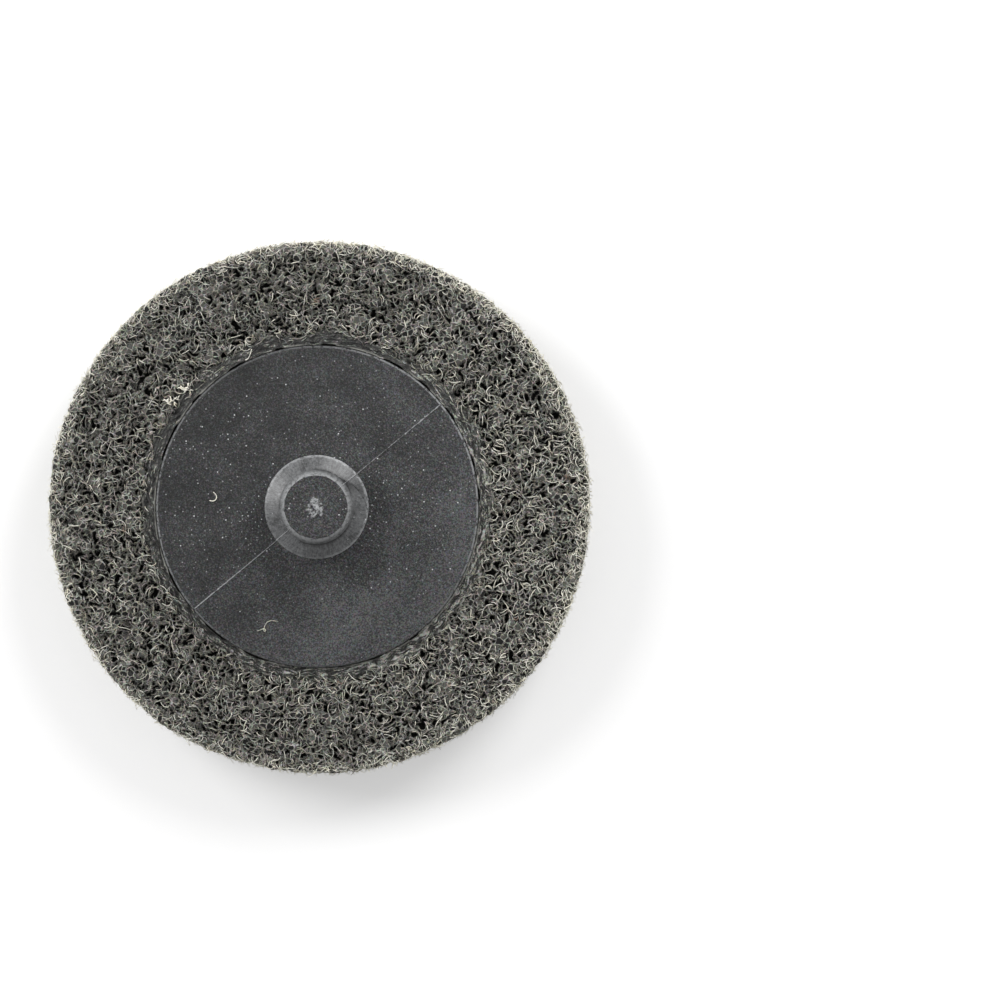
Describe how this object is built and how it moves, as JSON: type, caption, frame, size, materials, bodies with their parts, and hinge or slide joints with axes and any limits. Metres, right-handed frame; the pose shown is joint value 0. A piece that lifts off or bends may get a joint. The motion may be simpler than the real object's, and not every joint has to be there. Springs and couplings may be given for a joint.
{
  "type": "surface conditioning disc",
  "caption": "Flat round non-woven abrasive disc with a moulded plastic hub, whose short coarse-threaded stud screws into a holder pad.",
  "frame": {"origin": "centre of the working face, on the hub's axis", "axes": "+Z from the working face up through the hub's stud; +Y towards the thread's start at the tip"},
  "size_m": [0.0508, 0.0508, 0.0132],
  "materials": {
    "fibre_web": "open, curly resin-bonded fibre, matt grey with pale strands",
    "adhesive": "dark, half-gloss, ragged",
    "hub_plastic": "fine spark-eroded grain, satin"
  },
  "bodies": {
    "root": {"abrasive_web": "fibre_web", "glue_bed": "adhesive", "hub": "hub_plastic"}
  },
  "joints": []
}
